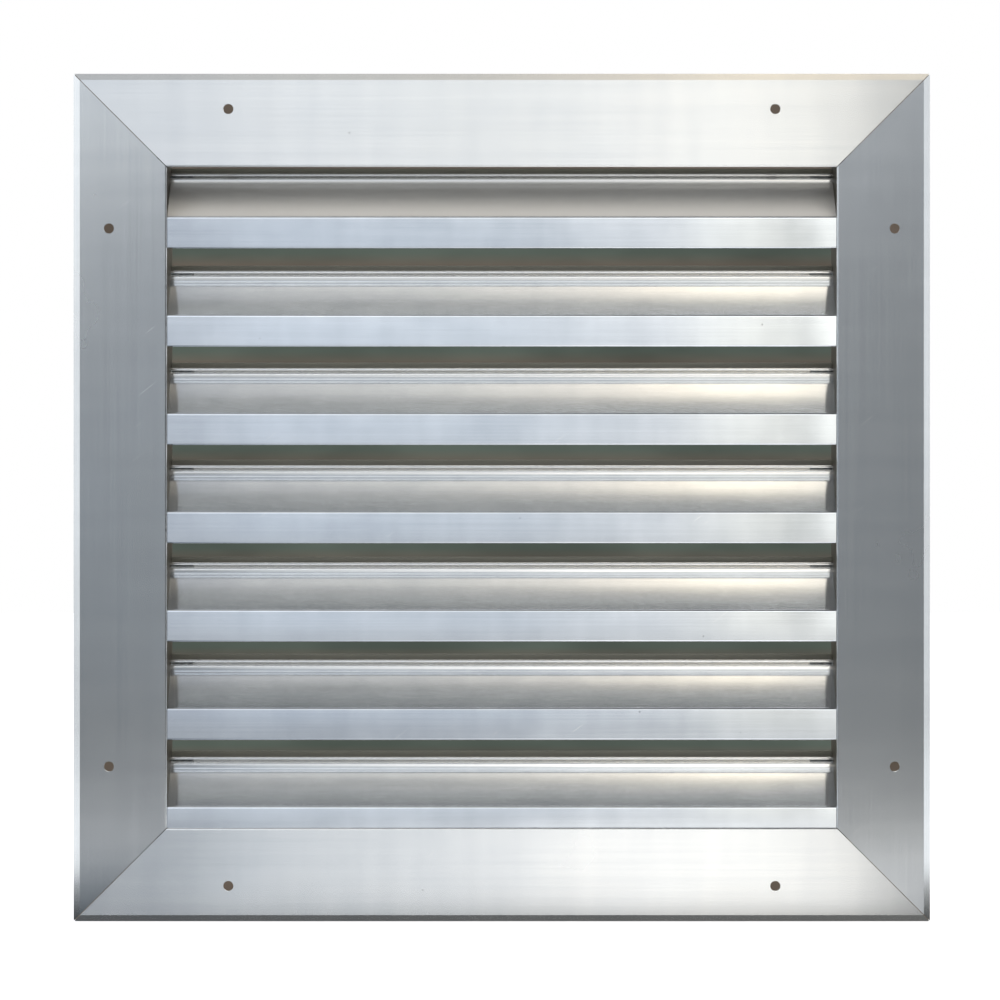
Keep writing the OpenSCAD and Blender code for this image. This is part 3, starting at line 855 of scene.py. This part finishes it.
def makeStage():
    floorZ = cadBox[0].z - stage["clearOfMetal"]
    half = stage["floorSide"] / 2
    flatCard("floor", (-half, -half, floorZ), (half, half, floorZ), paleFloor())
    side, wall, top, ceiling = stage["reach"], stage["wallY"], stage["wallTop"], stage["ceilingZ"]
    near, under, rear = stage["nearFloorY"], stage["underFloorY"], stage["rearY"]
    left, right = stage["ahead"]
    foot, level = stage["rearFoot"], floorZ + stage["clearOfMetal"] / 2
    bright, behind, beside = stage["brightToY"], stage["rearFloorY"], stage["sideY"]
    for name, low, high, paper in (
        ("frontLeft", (-side, wall, floorZ), (left, wall, top), "left"),
        ("frontMiddle", (left, wall, floorZ), (right, wall, top), "ahead"),
        ("frontRight", (right, wall, floorZ), (side, wall, top), "right"),
        ("frontSky", (-side, wall, top), (side, wall, ceiling), "sky"),
        ("leftWall", (-side, wall, floorZ), (-side, beside, top), "left"),
        ("rightWall", (side, wall, floorZ), (side, beside, top), "right"),
        ("leftSide", (-side, beside, floorZ), (-side, rear, top), "side"),
        ("rightSide", (side, beside, floorZ), (side, rear, top), "side"),
        ("farFloor", (-side, wall, level), (side, near, level), "farFloor"),
        ("nearFloor", (-side, near, level), (side, under, level), "nearFloor"),
        ("underFloor", (-side, under, level), (side, -under, level), "underFloor"),
        ("rearFloor", (-side, -under, level), (side, behind, level), "rearFloor"),
        ("backFloor", (-side, behind, level), (side, rear, level), "rearLow"),
        ("frontCeiling", (-side, wall, ceiling), (side, 0, ceiling), "frontCeiling"),
        ("rearCeiling", (-side, 0, ceiling), (side, bright, ceiling), "rearCeiling"),
        ("dimCeiling", (-side, bright, ceiling), (side, rear, ceiling), "dimCeiling"),
        ("rearSky", (-side, rear, foot), (side, rear, ceiling), "rearSky"),
        ("rearLow", (-side, rear, floorZ), (side, rear, foot), "rearLow"),
    ):
        reflectedOnly(flatCard(name, low, high, gradedPaper(paper)))
    makeShadeCards()


def addLamp(name, place, size, power, code):
    data = bpy.data.lights.new(name, "AREA")
    data.shape = "RECTANGLE"
    data.size, data.size_y = size
    data.energy = power
    data.color = linear(code)[:3]
    lamp = link(name, data)
    lamp.location = place
    lamp.rotation_euler = (-Vector(place)).to_track_quat("-Z", "Y").to_euler()
    lamp.visible_glossy = False


def makeLight():
    world = bpy.data.worlds.new("world")
    bpy.context.scene.world = world
    world.use_nodes = True
    tree = world.node_tree
    tree.nodes.clear()
    path = addNode(tree, "ShaderNodeLightPath").outputs
    seen = addNode(tree, "ShaderNodeMath", {0: path["Is Camera Ray"], 1: path["Is Glossy Ray"]}, operation="MAXIMUM")
    seen = addNode(tree, "ShaderNodeMath", {0: seen, 1: path["Is Transmission Ray"]}, operation="MAXIMUM")
    strength = addNode(tree, "ShaderNodeMath", {0: seen, 1: 0.5, 2: 0.5}, operation="MULTIPLY_ADD")
    background = addNode(tree, "ShaderNodeBackground", {"Color": linear("#FFFFFF"), "Strength": strength})
    addNode(tree, "ShaderNodeOutputWorld", {"Surface": background})
    addLamp("overhead", (0.5, -1.0, 1.5), (1.2, 1.2), 14, "#FFF8EE")
    addLamp("leftFill", (-1.4, -0.8, 1.2), (1.2, 1.2), 8, "#F2F6FF")


makeStage()
makeLight()
bpy.context.scene.view_settings.view_transform = "Standard"
print("stage done")
